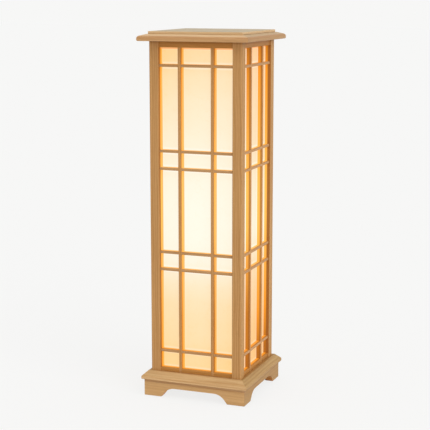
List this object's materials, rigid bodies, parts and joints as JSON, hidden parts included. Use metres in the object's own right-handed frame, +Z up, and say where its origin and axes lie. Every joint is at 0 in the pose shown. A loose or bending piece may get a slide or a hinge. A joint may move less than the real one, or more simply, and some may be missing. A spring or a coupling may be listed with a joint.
{
  "type": "andon floor lamp",
  "caption": "Square wooden floor lantern with a lattice over lit paper panels, a lift-off moulded cap and a moulded base on bracket feet.",
  "frame": {"origin": "on the floor, under the middle of the lantern", "axes": "+Z up along the lantern's axis, -Y out of the front face, +X to the right seen from the front"},
  "size_m": [0.282, 0.282, 0.9],
  "materials": {
    "post_wood": "clear satin lacquer, straight grain",
    "rail_wood": "clear satin lacquer, straight grain",
    "lattice_wood": "clear satin lacquer, straight grain",
    "lit_paper": "translucent mulberry paper, lit from inside",
    "base_wood": "clear satin lacquer, straight grain",
    "cap_wood": "clear satin lacquer, straight grain",
    "inner_wood": "bare planed wood",
    "plywood": "bare birch plywood",
    "felt": "brown pressed felt",
    "zinc_screws": "zinc plated",
    "zinc_pipe": "zinc plated",
    "black_plastic": "black, matte",
    "holder_plastic": "white, matte",
    "holder_ceramic": "white, unglazed",
    "contact_brass": "stamped, bright",
    "bulb_metal": "bright",
    "bulb_black": "black",
    "bulb_white": "white, satin",
    "bulb_opal": "opal white, lit"
  },
  "bodies": {
    "lantern": {"post_front_left": "post_wood", "post_front_right": "post_wood", "post_back_left": "post_wood", "post_back_right": "post_wood", "top_rail_front": "rail_wood", "top_rail_right": "rail_wood", "top_rail_back": "rail_wood", "top_rail_left": "rail_wood", "bottom_rail_front": "rail_wood", "bottom_rail_right": "rail_wood", "bottom_rail_back": "rail_wood", "bottom_rail_left": "rail_wood", "lattice_uprights_front": "lattice_wood", "lattice_uprights_right": "lattice_wood", "lattice_uprights_back": "lattice_wood", "lattice_uprights_left": "lattice_wood", "lattice_crossbars_front": "lattice_wood", "lattice_crossbars_right": "lattice_wood", "lattice_crossbars_back": "lattice_wood", "lattice_crossbars_left": "lattice_wood", "paper_panel_front": "lit_paper", "paper_panel_right": "lit_paper", "paper_panel_back": "lit_paper", "paper_panel_left": "lit_paper", "base_moulding_front": "base_wood", "base_moulding_right": "base_wood", "base_moulding_back": "base_wood", "base_moulding_left": "base_wood", "foot_apron_front": "base_wood", "foot_apron_right": "base_wood", "foot_apron_back": "base_wood", "foot_apron_left": "base_wood", "corner_beads": "inner_wood", "corner_blocks": "inner_wood", "base_board": "plywood", "foot_pads": "felt", "base_board_screws": "zinc_screws", "post_screws": "zinc_screws", "lamp_pipe": "zinc_pipe", "pipe_nuts": "zinc_pipe", "pipe_washers": "zinc_pipe", "cord_bushing": "black_plastic", "holder_cap": "holder_plastic", "holder_shell": "holder_plastic", "holder_insert": "holder_ceramic", "holder_thread_shell": "contact_brass", "holder_contact": "contact_brass"},
    "cap": {"cap_moulding_front": "cap_wood", "cap_moulding_right": "cap_wood", "cap_moulding_back": "cap_wood", "cap_moulding_left": "cap_wood", "cap_panel": "cap_wood", "cap_cleats": "inner_wood", "cap_cleat_screws": "zinc_screws"},
    "bulb": {"bulb_tip_contact": "bulb_metal", "bulb_insulator": "bulb_black", "bulb_screw_cap": "bulb_metal", "bulb_housing": "bulb_white", "bulb_globe": "bulb_opal"}
  },
  "joints": [
    {"name": "cap_lift", "type": "slide", "parent": "lantern", "child": "cap", "axis": [0, 0, 1], "range_m": [0, 0.12]},
    {"name": "bulb_removal", "type": "slide", "parent": "lantern", "child": "bulb", "axis": [0, 0, 1], "range_m": [0, 0.032]}
  ]
}
